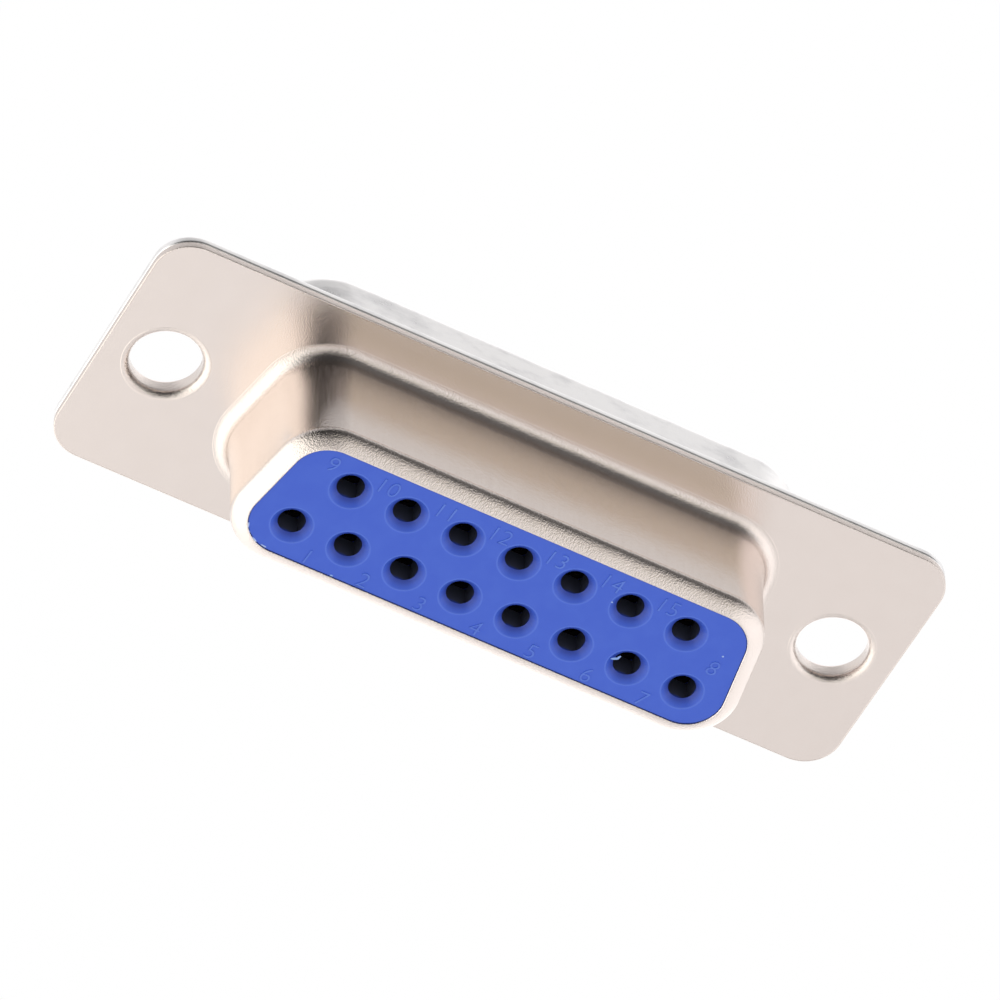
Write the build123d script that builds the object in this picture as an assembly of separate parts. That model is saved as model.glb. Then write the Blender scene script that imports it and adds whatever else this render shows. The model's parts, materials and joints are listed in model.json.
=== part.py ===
from build123d import *
import math
import os

# D-sub connector, 15 positions, socket side, with solder cups.
# Frame: X runs along the connector, the mating side faces -Y, Z points up toward the narrow row.
# Origin: centre of the flange's front face, midway between the two mounting holes.

os.makedirs("parts", exist_ok=True)

# Driving dimensions, mm

# contact grid, from which the widths and heights grow outward
pitch = 2.77              # along each row
row_spacing = 2.84        # between the rows
wide_row_count = 8        # lower row
narrow_row_count = 7      # upper row, half a pitch across

# sheet metal
sheet_t = 0.40            # front and rear shell are drawn from the same sheet
side_angle = 10.0         # the D's short sides lean by this many degrees

# nose of the front shell, outside sizes
nose_end = 2.435          # outermost contact of the wide row to the nose's side at mid height
nose_rim = 2.38           # contact rows to the nose's top and bottom
nose_corner_r = 2.40
nose_depth = 5.70         # flange front to the lip's crown
nose_root_r = 0.70        # bend between flange front and nose
lip_bend_r = 0.75         # outside bend of the inward lip
lip_inset = 0.68          # lip edge, measured in from the nose's outside

# cup of the rear shell, outside sizes
cup_step_w = 1.42         # the cup is wider than the nose by this on each side
cup_step_h = 1.45         # and higher by this at top and bottom
cup_corner_r = 3.10
cup_depth = 4.30          # flange front to the back of the cup
cup_root_r = 0.45         # bend between the rear flange and the cup
cup_bend_r = 0.70         # outside bend at the back of the cup
cup_opening_inset = 1.45  # back opening, measured in from the cup's outside

# flange and its mounting holes with drawn eyelets
flange_margin = 1.025     # flange beyond the cup's top and bottom
flange_end = 2.94         # hole centre to the flange's end
flange_corner_r = 1.75
hole_offset = 4.53        # hole centre from the nose's side at mid height
hole_d = 3.20             # bore of each eyelet
hole_entry = 0.26         # flare of the eyelet's mouth at the flange front
eyelet_t = 0.28           # wall of the drawn eyelet
eyelet_clearance = 0.04   # radial play of the eyelet in the rear flange's hole
eyelet_flare = 0.50       # how far the rolled-over end reaches out behind the rear flange

# insulators
insulator_clearance = 0.05   # play between plastic and sheet
face_recess = 0.06           # plastic face behind the lip's crown
lip_clearance = 0.05         # play between a metal edge and the plastic inside it
split_y = 2.00               # plane where the two insulators meet
boss_chamfer = 0.25          # edge of the rear insulator's boss
tail_boss_depth = 0.70       # how far the rear insulator stands out of the cup

# cavities
entry_mouth_d = 1.90      # countersink at the face
entry_throat_w = 1.24     # straight throat that leads the pin in, as wide as the countersink's bottom
entry_depth = 0.32        # depth of the countersink
throat_depth = 1.60       # face to the end of the throat
cavity_clearance = 0.05   # play between the plastic and the contact, each side

# contacts, rolled from strip
strip_t = 0.25
socket_bore_d = 1.07      # takes a 1.02 mm pin
seam_w = 0.14             # open seam along the contact
tine_slit_w = 0.24        # slit opposite the seam, so that two tines grip the pin
tine_slit_depth = 3.20
barb_reach = 0.26         # retention barbs stand out this far on both sides
barb_w = 0.50
barb_t = 0.60             # length of the barbs along the contact
cup_length = 3.80         # solder cup, from the rear insulator's back face
cup_window_length = 2.20  # half of the cup's wall is cut away over this length
window_offset = 0.10      # the cut stays this far outside the cup's axis

# Derived sizes and placement
nose_mid_w = (wide_row_count - 1) * pitch + 2 * nose_end
nose_h = row_spacing + 2 * nose_rim
cup_mid_w = nose_mid_w + 2 * cup_step_w
cup_h = nose_h + 2 * cup_step_h
hole_spacing = nose_mid_w + 2 * hole_offset
flange_w = hole_spacing + 2 * flange_end
flange_h = cup_h + 2 * flange_margin
front_flange_back = sheet_t
rear_flange_back = 2 * sheet_t
nose_front = -nose_depth
face_y = nose_front + face_recess
tail_face = cup_depth + tail_boss_depth
cos_side = math.cos(math.radians(side_angle))
tan_side = math.tan(math.radians(side_angle))
bend_flat = 2 - math.sqrt(2)   # leg of the flat that touches a quarter bend of radius 1
bend_flat_edge = math.tan(math.pi / 8) - math.tan(math.pi / 16)   # leg of the two flats that break its edges
barrel_d = socket_bore_d + 2 * strip_t
cavity_w = barrel_d + 2 * cavity_clearance


def d_outline(mid_w, height, corner_r, inset=0.0):
    """D outline, wide side down, drawn in from the given sizes by inset all round."""
    half_mid = mid_w / 2 - inset / cos_side
    half_h = height / 2 - inset
    low = half_mid + half_h * tan_side
    top = half_mid - half_h * tan_side
    corners = [(-low, -half_h), (low, -half_h), (top, half_h), (-top, half_h)]
    outline = make_face(Polyline(*corners, close=True))
    return fillet(outline.vertices(), max(corner_r - inset, 0.3))


def slab(outline, y_front, y_back):
    """Prism of an outline drawn in X and Z, between two depths."""
    plane = Plane(origin=(0, y_front, 0), x_dir=(1, 0, 0), z_dir=(0, -1, 0))
    return extrude(plane * outline, amount=y_front - y_back)


def rim(solid, y, near_w, near_h):
    """Edges of a solid that lie in the plane y, with their middle inside the given half width and height."""
    picked = []
    for edge in solid.edges():
        box = edge.bounding_box()
        flat = abs(box.min.Y - y) < 1e-4 and abs(box.max.Y - y) < 1e-4
        if flat and abs(edge.center().X) < near_w and abs(edge.center().Z) < near_h:
            picked.append(edge)
    return picked


def root_rim(solid, y, mid_w, height):
    """Edges where a D of the given size meets the flange at y, picked halfway out to the flange's edge."""
    return rim(solid, y, (mid_w + flange_w) / 4, (height + flange_h) / 4)


def turned(points):
    """Solid of revolution about Y from a closed list of (radius, y) points."""
    profile = make_face(Polyline(*[(r, y, 0) for r, y in points], close=True))
    return revolve(profile, Axis.Y)


def rod(diameter, y_front, y_back, x=0.0, z=0.0):
    """Cylinder along Y between two depths."""
    plane = Plane(origin=(x, y_front, z), x_dir=(1, 0, 0), z_dir=(0, 1, 0))
    return extrude(plane * Circle(diameter / 2), amount=y_back - y_front)


def contact_places():
    """Centre (x, z) of every contact and whether it belongs to the upper row."""
    places = []
    for count, z in ((wide_row_count, -row_spacing / 2), (narrow_row_count, row_spacing / 2)):
        for k in range(count):
            places.append(((k - (count - 1) / 2) * pitch, z, z > 0))
    return places


def flange_plate(y_front, y_back):
    """Rectangular flange sheet with rounded corners."""
    return slab(RectangleRounded(flange_w, flange_h, flange_corner_r), y_front, y_back)


def eyelet(x):
    """Collar drawn out of the front flange, through the rear flange and rolled over behind it."""
    bore_r = hole_d / 2
    outer_r = bore_r + eyelet_t
    back = rear_flange_back + eyelet_t
    profile = [
        (bore_r, front_flange_back / 2),
        (outer_r, front_flange_back / 2),
        (outer_r, rear_flange_back),
        (outer_r + eyelet_flare, rear_flange_back),
        (outer_r + eyelet_flare, back),
        (bore_r, back),
    ]
    return Pos(x, 0, 0) * turned(profile)


def front_shell():
    """Flange, nose with its inward lip, and the two eyelets, all from one sheet."""
    shell = flange_plate(0, front_flange_back)
    shell += slab(d_outline(nose_mid_w, nose_h, nose_corner_r), nose_front, front_flange_back / 2)
    lip_leg = lip_bend_r * bend_flat
    shell = chamfer(rim(shell, nose_front, flange_w, flange_h), lip_leg)
    rings = rim(shell, nose_front, flange_w, flange_h) + rim(shell, nose_front + lip_leg, flange_w, flange_h)
    shell = chamfer(rings, lip_bend_r * bend_flat_edge)
    root_leg = nose_root_r * bend_flat
    shell = chamfer(root_rim(shell, 0, nose_mid_w, nose_h), root_leg)
    rings = root_rim(shell, 0, nose_mid_w, nose_h) + root_rim(shell, -root_leg, nose_mid_w, nose_h)
    shell = chamfer(rings, nose_root_r * bend_flat_edge)
    shell -= slab(d_outline(nose_mid_w, nose_h, nose_corner_r, sheet_t), nose_front + sheet_t, front_flange_back)
    shell -= slab(d_outline(nose_mid_w, nose_h, nose_corner_r, lip_inset), nose_front, 0)
    inner = root_rim(shell, front_flange_back, nose_mid_w, nose_h)
    shell = chamfer(inner, (nose_root_r + sheet_t) * bend_flat)
    for side in (-1, 1):
        x = side * hole_spacing / 2
        shell += eyelet(x)
        shell -= rod(hole_d, 0, front_flange_back, x)
    mouths = [e for e in rim(shell, 0, flange_w, hole_d) if e.geom_type == GeomType.CIRCLE]
    mouths = [e for e in mouths if abs(e.radius - hole_d / 2) < 0.01]
    return chamfer(mouths, hole_entry)


def rear_shell():
    """Flange sheet and cup, with the back opening and holes around the eyelets."""
    shell = flange_plate(front_flange_back, rear_flange_back)
    shell += slab(d_outline(cup_mid_w, cup_h, cup_corner_r), front_flange_back, cup_depth)
    shell = chamfer(rim(shell, cup_depth, flange_w, flange_h), cup_bend_r * bend_flat)
    shell = chamfer(root_rim(shell, rear_flange_back, cup_mid_w, cup_h), cup_root_r * bend_flat)
    shell -= slab(d_outline(cup_mid_w, cup_h, cup_corner_r, sheet_t), front_flange_back, cup_depth - sheet_t)
    shell -= slab(d_outline(cup_mid_w, cup_h, cup_corner_r, cup_opening_inset), front_flange_back, cup_depth)
    inner = root_rim(shell, front_flange_back, cup_mid_w, cup_h)
    shell = chamfer(inner, (cup_root_r + sheet_t) * bend_flat)
    hole = hole_d + 2 * eyelet_t + 2 * eyelet_clearance
    for side in (-1, 1):
        shell -= rod(hole, front_flange_back, rear_flange_back, side * hole_spacing / 2)
    return shell


def cavity_cut(x, z):
    """Hole for one contact in the front insulator: countersink, throat, wider square barrel, barb pocket."""
    throat_end = face_y + throat_depth
    mouth = [
        (0, face_y),
        (entry_mouth_d / 2, face_y),
        (entry_throat_w / 2, face_y + entry_depth),
        (0, face_y + entry_depth),
    ]
    cut = turned(mouth) + slab(Rectangle(entry_throat_w, entry_throat_w), face_y + entry_depth, throat_end)
    cut += slab(Rectangle(cavity_w, cavity_w), throat_end, split_y)
    pocket = Rectangle(cavity_w + 2 * barb_reach, barb_w + 2 * cavity_clearance)
    cut += slab(pocket, split_y - barb_t, split_y)
    return Pos(x, 0, z) * cut


def front_insulator():
    """Plastic block that fills the nose, with a shoulder clamped behind the front flange."""
    gap = sheet_t + insulator_clearance
    body = slab(d_outline(nose_mid_w, nose_h, nose_corner_r, gap), nose_front + gap, split_y)
    body += slab(d_outline(nose_mid_w, nose_h, nose_corner_r, lip_inset + lip_clearance), face_y, split_y)
    body += slab(d_outline(cup_mid_w, cup_h, cup_corner_r, gap), front_flange_back, split_y)
    for x, z, _ in contact_places():
        body -= cavity_cut(x, z)
    return body


def rear_insulator():
    """Plastic plate in the cup that holds the contacts' barbs, with a boss through the opening."""
    gap = sheet_t + insulator_clearance
    body = slab(d_outline(cup_mid_w, cup_h, cup_corner_r, gap), split_y, cup_depth - sheet_t)
    body += slab(d_outline(cup_mid_w, cup_h, cup_corner_r, cup_opening_inset + lip_clearance), split_y, tail_face)
    body = chamfer(rim(body, tail_face, flange_w, flange_h), boss_chamfer)
    for x, z, _ in contact_places():
        body -= Pos(x, 0, z) * slab(Rectangle(cavity_w, cavity_w), split_y, tail_face)
    return body


def contact(x, z, upper):
    """Socket contact rolled from strip: two tines in front, barbs, half-open solder cup behind."""
    front = face_y + throat_depth
    back = tail_face + cup_length
    body = rod(barrel_d, front, back)
    body += slab(Rectangle(barrel_d + 2 * barb_reach, barb_w), split_y - barb_t, split_y)
    body -= rod(socket_bore_d, front, back)
    side = 1 if upper else -1
    body -= Pos(0, 0, side * barrel_d / 2) * slab(Rectangle(seam_w, barrel_d), front, back)
    body -= Pos(0, 0, -side * barrel_d / 2) * slab(Rectangle(tine_slit_w, barrel_d), front, front + tine_slit_depth)
    window = slab(Rectangle(barrel_d, barrel_d), back - cup_window_length, back)
    body -= Pos(0, 0, side * (window_offset + barrel_d / 2)) * window
    return Pos(x, 0, z) * body


def main():
    """Build every piece and write one STEP file for each."""
    pieces = {
        "front_shell": front_shell(),
        "rear_shell": rear_shell(),
        "front_insulator": front_insulator(),
        "rear_insulator": rear_insulator(),
    }
    for number, (x, z, upper) in enumerate(contact_places(), start=1):
        pieces[f"contact_{number:02d}"] = contact(x, z, upper)
    for name, piece in pieces.items():
        export_step(piece, f"parts/{name}.step")


main()
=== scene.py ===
"""D-sub connector, 15 positions, socket side: the finished look of every visible piece."""
import json
import logging
import math
from dataclasses import dataclass
from enum import Enum

import bmesh
import bpy
import numpy as np
from mathutils import Matrix, Vector
from mathutils.geometry import delaunay_2d_cdt


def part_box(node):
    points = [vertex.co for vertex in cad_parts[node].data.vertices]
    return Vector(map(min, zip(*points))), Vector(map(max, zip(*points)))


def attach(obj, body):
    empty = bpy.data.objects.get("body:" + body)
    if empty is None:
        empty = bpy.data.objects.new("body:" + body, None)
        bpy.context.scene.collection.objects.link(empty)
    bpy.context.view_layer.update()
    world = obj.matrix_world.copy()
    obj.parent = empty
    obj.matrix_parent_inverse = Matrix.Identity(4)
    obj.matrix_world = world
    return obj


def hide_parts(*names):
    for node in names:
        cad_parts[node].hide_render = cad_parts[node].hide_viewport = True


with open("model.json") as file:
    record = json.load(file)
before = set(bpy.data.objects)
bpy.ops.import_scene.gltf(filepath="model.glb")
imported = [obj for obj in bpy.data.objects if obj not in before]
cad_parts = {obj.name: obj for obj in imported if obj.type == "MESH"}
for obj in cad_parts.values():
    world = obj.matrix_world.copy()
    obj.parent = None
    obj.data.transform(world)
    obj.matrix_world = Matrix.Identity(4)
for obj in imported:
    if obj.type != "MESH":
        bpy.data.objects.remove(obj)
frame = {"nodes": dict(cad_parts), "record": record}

log = logging.getLogger("connector")

Pair = tuple[float, float]
Triple = tuple[float, float, float]     # a colour, or sizes along X, Y and Z
Socket = bpy.types.NodeSocket

MM = 0.001          # sizes below are in millimetres, meshes are in metres
BODY = "root"       # the connector is one rigid body
SHEARED = 2.0       # bend value of a sheared edge; 1 is a drawn bend and 0 a flat
NOISE = (0.3, 0.7)  # nearly all values of a noise texture lie in this range


def smooth_arc(start_deg: float, end_deg: float, steps: int) -> np.ndarray:
    """Evenly spaced angles in radians from start to end, both included."""
    return np.radians(np.linspace(start_deg, end_deg, steps + 1))


@dataclass(frozen=True)
class RoundedOutline:
    """Closed convex outline in X and Z with every corner rounded to the same radius.

    A station on it is a skeleton point and an outward unit normal. The point at an offset d from
    the outline is skeleton + (corner radius + d) * normal, so one set of stations serves every
    ring that runs parallel to the outline.
    """

    corners: tuple[Pair, ...]
    corner_r: float
    arc_steps: int = 22
    side_steps: int = 30

    @classmethod
    def d_shape(cls, mid_w: float, height: float, corner_r: float, lean_deg: float) -> "RoundedOutline":
        """D outline with its wide side down.

        Args:
            mid_w: width at mid height.
            height: full height.
            corner_r: radius of the four corners.
            lean_deg: lean of the short sides.

        Returns:
            The outline, counter-clockwise as seen from the mating side.
        """
        slope = math.tan(math.radians(lean_deg)) * height / 2
        low, top, half_h = mid_w / 2 + slope, mid_w / 2 - slope, height / 2
        return cls(((-low, -half_h), (low, -half_h), (top, half_h), (-top, half_h)), corner_r)

    @classmethod
    def rectangle(cls, width: float, height: float, corner_r: float) -> "RoundedOutline":
        """Rectangle of the given width and height, centred on the origin."""
        w, h = width / 2, height / 2
        return cls(((-w, -h), (w, -h), (w, h), (-w, h)), corner_r)

    def stations(self) -> tuple[np.ndarray, np.ndarray]:
        """Skeleton points and outward normals, once round.

        Returns:
            Two arrays of shape (stations, 2). Each corner gives an arc of turning normals about
            one skeleton point, each side a row of skeleton points with one normal.
        """
        corner = np.array(self.corners)
        run = np.roll(corner, -1, axis=0) - corner
        normal = np.stack([run[:, 1], -run[:, 0]], axis=1) / np.linalg.norm(run, axis=1)[:, None]
        before = np.roll(normal, 1, axis=0)
        share = 1 + np.sum(before * normal, axis=1)[:, None]
        skeleton = corner - self.corner_r * (before + normal) / share
        points, normals = [], []
        for k in range(len(corner)):
            start = math.atan2(before[k, 1], before[k, 0])
            turn = math.acos(float(np.clip(before[k] @ normal[k], -1, 1)))
            angle = start + turn * np.linspace(0, 1, self.arc_steps + 1)
            points.append(np.repeat(skeleton[k:k + 1], self.arc_steps + 1, axis=0))
            normals.append(np.stack([np.cos(angle), np.sin(angle)], axis=1))
            share_along = np.linspace(0, 1, self.side_steps + 1)[1:-1, None]
            following = skeleton[(k + 1) % len(corner)]
            points.append(skeleton[k] + share_along * (following - skeleton[k]))
            normals.append(np.repeat(normal[k:k + 1], self.side_steps - 1, axis=0))
        return np.concatenate(points), np.concatenate(normals)

    def ring(self, offset: float) -> np.ndarray:
        """Points (x, z) of the parallel outline at the given offset, outward positive."""
        skeleton, normal = self.stations()
        return skeleton + (self.corner_r + offset) * normal

    def sweep(self, profile: np.ndarray) -> np.ndarray:
        """Carry a profile once round the outline.

        Args:
            profile: rows of (offset, y).

        Returns:
            Grid of shape (rows, stations, 3): x and z are skeleton + (corner radius + offset) *
            normal, y is the profile's own.
        """
        skeleton, normal = self.stations()
        flat = skeleton[None] + (self.corner_r + profile[:, :1])[:, :, None] * normal[None]
        depth = np.broadcast_to(profile[:, 1:2], flat.shape[:2])
        return np.stack([flat[..., 0], depth, flat[..., 1]], axis=-1)


@dataclass(frozen=True)
class RoundHole:
    """Circle in X and Z that carries a profile of (radius, y) once round."""

    x: float
    z: float
    steps: int = 72

    def sweep(self, profile: np.ndarray) -> np.ndarray:
        """Carry a profile once round the circle.

        Args:
            profile: rows of (radius, y).

        Returns:
            Grid of shape (rows, steps, 3): x and z are centre + radius * (cos, sin) of the turn.
        """
        turn = np.linspace(0, 2 * np.pi, self.steps, endpoint=False)
        x = self.x + profile[:, :1] * np.cos(turn)[None]
        z = self.z + profile[:, :1] * np.sin(turn)[None]
        return np.stack([x, np.broadcast_to(profile[:, 1:2], x.shape), z], axis=-1)

    def ring(self, radius: float) -> np.ndarray:
        """Points (x, z) of the circle with the given radius."""
        return self.sweep(np.array([[radius, 0.0]]))[0][:, [0, 2]]


def show(mesh: bpy.types.Mesh) -> bpy.types.Object:
    """Put a mesh in the scene as an object of its name, at the origin.

    Args:
        mesh: the mesh, with its place in it.

    Returns:
        The object.
    """
    made = bpy.data.objects.new(mesh.name, mesh)
    bpy.context.scene.collection.objects.link(made)
    return made


class MeshDraft:
    """Gathers grids and flat fills in millimetres, then welds them into one closed mesh in metres."""

    WELD_STEPS = 1e4         # points that agree at this many steps a millimetre become one
    FILL_INSIDE = 1          # the triangulation's mode that fills only inside its loops
    FILL_TOLERANCE = 1e-7

    def __init__(self) -> None:
        """Start with no points and no faces."""
        self.points: list[np.ndarray] = []
        self.bends: list[np.ndarray] = []
        self.faces: list[np.ndarray] = []
        self.count = 0

    def _add(self, points: np.ndarray, bend: np.ndarray, faces: np.ndarray) -> None:
        """Append points and the faces on them.

        Args:
            points: rows of (x, y, z).
            bend: one bend value a point.
            faces: rows of four indices into the points.
        """
        self.points.append(points)
        self.bends.append(bend)
        self.faces.append(faces + self.count)
        self.count += len(points)

    def grid(self, grid: np.ndarray, bend: np.ndarray | None = None) -> None:
        """Add a surface that closes on itself along its second direction.

        Args:
            grid: points of shape (rows, columns, 3).
            bend: one value a row, 1 where the sheet was bent and 0 where it stayed flat.
        """
        rows, columns, _ = grid.shape
        index = np.arange(rows * columns).reshape(rows, columns)
        following = np.roll(index, -1, axis=1)
        quads = np.stack([index[:-1], following[:-1], following[1:], index[1:]], axis=-1)
        values = np.zeros(rows) if bend is None else bend
        self._add(grid.reshape(-1, 3), np.repeat(values, columns), quads.reshape(-1, 4))

    def fill(self, loops: list[np.ndarray], y: float) -> None:
        """Fill the flat region between closed loops.

        A point belongs to the region when a ray from it crosses the loops an odd number of times.

        Args:
            loops: closed loops of (x, z) points.
            y: plane of the fill.
        """
        flat = np.concatenate(loops)
        edges, base = [], 0
        for loop in loops:
            index = np.arange(len(loop)) + base
            edges.append(np.stack([index, np.roll(index, -1)], axis=1))
            base += len(loop)
        edge = np.concatenate(edges)
        places = [Vector(p) for p in flat.tolist()]
        made = delaunay_2d_cdt(places, edge.tolist(), [], self.FILL_INSIDE, self.FILL_TOLERANCE)
        corners = np.array([tuple(v) for v in made[0]])
        triangles = np.array(made[2])
        middle = corners[triangles].mean(axis=1)
        a, b = flat[edge[:, 0]], flat[edge[:, 1]]
        spans = (a[:, 1] > middle[:, 1:2]) != (b[:, 1] > middle[:, 1:2])
        rise = np.where(b[:, 1] == a[:, 1], 1.0, b[:, 1] - a[:, 1])
        cross_x = a[:, 0] + (middle[:, 1:2] - a[:, 1]) * (b[:, 0] - a[:, 0]) / rise
        inside = np.sum(spans & (cross_x > middle[:, :1]), axis=1) % 2 == 1
        kept = triangles[inside]
        points = np.stack([corners[:, 0], np.full(len(corners), y), corners[:, 1]], axis=1)
        self._add(points, np.zeros(len(points)), np.concatenate([kept, kept[:, -1:]], axis=1))

    def piece(self, name: str, crease_deg: float = 50.0) -> bpy.types.Object:
        """Weld points that coincide, turn every face outward and make the object.

        Args:
            name: name of the object and its mesh.
            crease_deg: edges that turn by more than this stay crisp.

        Returns:
            The object, at the origin, with its place in its mesh.
        """
        points = np.concatenate(self.points)
        key = np.round(points * self.WELD_STEPS).astype(np.int64)
        _, first, inverse = np.unique(key, axis=0, return_index=True, return_inverse=True)
        faces = inverse.reshape(-1)[np.concatenate(self.faces)]
        bend = np.zeros(len(first))
        np.maximum.at(bend, inverse.reshape(-1), np.concatenate(self.bends))
        mesh = bpy.data.meshes.new(name)
        distinct = [tuple(dict.fromkeys(row)) for row in faces.tolist()]
        mesh.from_pydata((points[first] * MM).tolist(), [], [row for row in distinct if len(row) > 2])
        mesh.attributes.new("bend", "FLOAT", "POINT").data.foreach_set("value", bend.astype(np.float32))
        shaped = bmesh.new()
        shaped.from_mesh(mesh)
        bmesh.ops.recalc_face_normals(shaped, faces=shaped.faces)
        for edge in shaped.edges:
            edge.smooth = edge.calc_face_angle(0.0) < math.radians(crease_deg)
        shaped.to_mesh(mesh)
        shaped.free()
        mesh.shade_smooth()
        mesh.update()
        return show(mesh)


@dataclass(frozen=True)
class NodeTree:
    """Short ways to add and join nodes in a material's or the world's tree."""

    tree: bpy.types.NodeTree

    def add(self, kind: str, **settings: str) -> bpy.types.Node:
        """Add a node.

        Args:
            kind: the node's type.
            settings: its properties, by name.

        Returns:
            The new node.
        """
        node = self.tree.nodes.new(kind)
        for key, value in settings.items():
            setattr(node, key, value)
        return node

    def join(self, source: Socket, target: Socket) -> None:
        """Link an output socket to an input socket."""
        self.tree.links.new(source, target)

    def maths(self, operation: str, a: float | Socket, b: float | Socket) -> Socket:
        """Add a Math node.

        Args:
            operation: what it works out.
            a: first value, a number or an output socket.
            b: second value, likewise.

        Returns:
            The result.
        """
        node = self.add("ShaderNodeMath", operation=operation)
        for socket, value in zip(node.inputs[:2], (a, b)):
            if isinstance(value, Socket):
                self.join(value, socket)
            else:
                socket.default_value = value
        return node.outputs[0]

    def mix(self, share: Socket, first: Triple | Socket, second: Triple | Socket) -> Socket:
        """Mix two colours.

        Args:
            share: share of the second colour.
            first: a colour or an output socket.
            second: likewise.

        Returns:
            The mixed colour.
        """
        node = self.add("ShaderNodeMix", data_type="RGBA")
        self.join(share, node.inputs["Factor"])
        colours = [socket for socket in node.inputs if socket.type == "RGBA"]
        for socket, value in zip(colours, (first, second)):
            if isinstance(value, Socket):
                self.join(value, socket)
            else:
                socket.default_value = (*value, 1.0)
        return next(socket for socket in node.outputs if socket.type == "RGBA")

    def spread(self, value: Socket, low: float, high: float, to_low: float, to_high: float) -> Socket:
        """Map one range of values to another, smoothly and clamped.

        Args:
            value: what is mapped.
            low: start of its range.
            high: end of its range.
            to_low: result at the start.
            to_high: result at the end.

        Returns:
            The mapped value.
        """
        node = self.add("ShaderNodeMapRange", interpolation_type="SMOOTHSTEP")
        self.join(value, node.inputs["Value"])
        limits = {"From Min": low, "From Max": high, "To Min": to_low, "To Max": to_high}
        for name, number in limits.items():
            node.inputs[name].default_value = number
        return node.outputs["Result"]

    def place(self) -> Socket:
        """Object coordinates of the shaded point, in metres."""
        return self.add("ShaderNodeTexCoord").outputs["Object"]

    def depth(self) -> Socket:
        """Read the depth behind the flange.

        Returns:
            Place of the shaded point along Y, in metres.
        """
        split = self.add("ShaderNodeSeparateXYZ")
        self.join(self.place(), split.inputs["Vector"])
        return split.outputs["Y"]

    def grain(self, size: Triple, detail: float = 2.0, sharp: float = 0.5) -> Socket:
        """Add noise on Object coordinates.

        Args:
            size: size of its features in millimetres along X, Y and Z.
            detail: number of finer layers in it.
            sharp: strength of each layer against the coarser one before.

        Returns:
            The noise, from 0 to 1.
        """
        mapping = self.add("ShaderNodeMapping")
        mapping.inputs["Scale"].default_value = tuple(1.0 / (s * MM) for s in size)
        self.join(self.place(), mapping.inputs["Vector"])
        noise = self.add("ShaderNodeTexNoise")
        for name, number in {"Scale": 1.0, "Detail": detail, "Roughness": sharp}.items():
            noise.inputs[name].default_value = number
        self.join(mapping.outputs["Vector"], noise.inputs["Vector"])
        return noise.outputs["Fac"]

    def bump(self, shader: bpy.types.Node, height: Socket, reach: float) -> None:
        """Give a shader a relief.

        Args:
            shader: the principled shader.
            height: the relief.
            reach: millimetres that a height of 1 stands for.
        """
        node = self.add("ShaderNodeBump")
        node.inputs["Strength"].default_value = 1.0
        node.inputs["Distance"].default_value = reach * MM
        self.join(height, node.inputs["Height"])
        self.join(node.outputs["Normal"], shader.inputs["Normal"])


def new_material(name: str) -> tuple[bpy.types.Material, NodeTree, bpy.types.Node]:
    """Make a node material with a principled shader.

    Args:
        name: name of the material.

    Returns:
        The material, its node tree and its shader node.
    """
    material = bpy.data.materials.new(name)
    material.use_nodes = True
    shader = next(n for n in material.node_tree.nodes if n.type == "BSDF_PRINCIPLED")
    return material, NodeTree(material.node_tree), shader


def dress(piece: bpy.types.Object, material: bpy.types.Material) -> None:
    """Give the whole piece one material."""
    piece.data.materials.clear()
    piece.data.materials.append(material)


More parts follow.
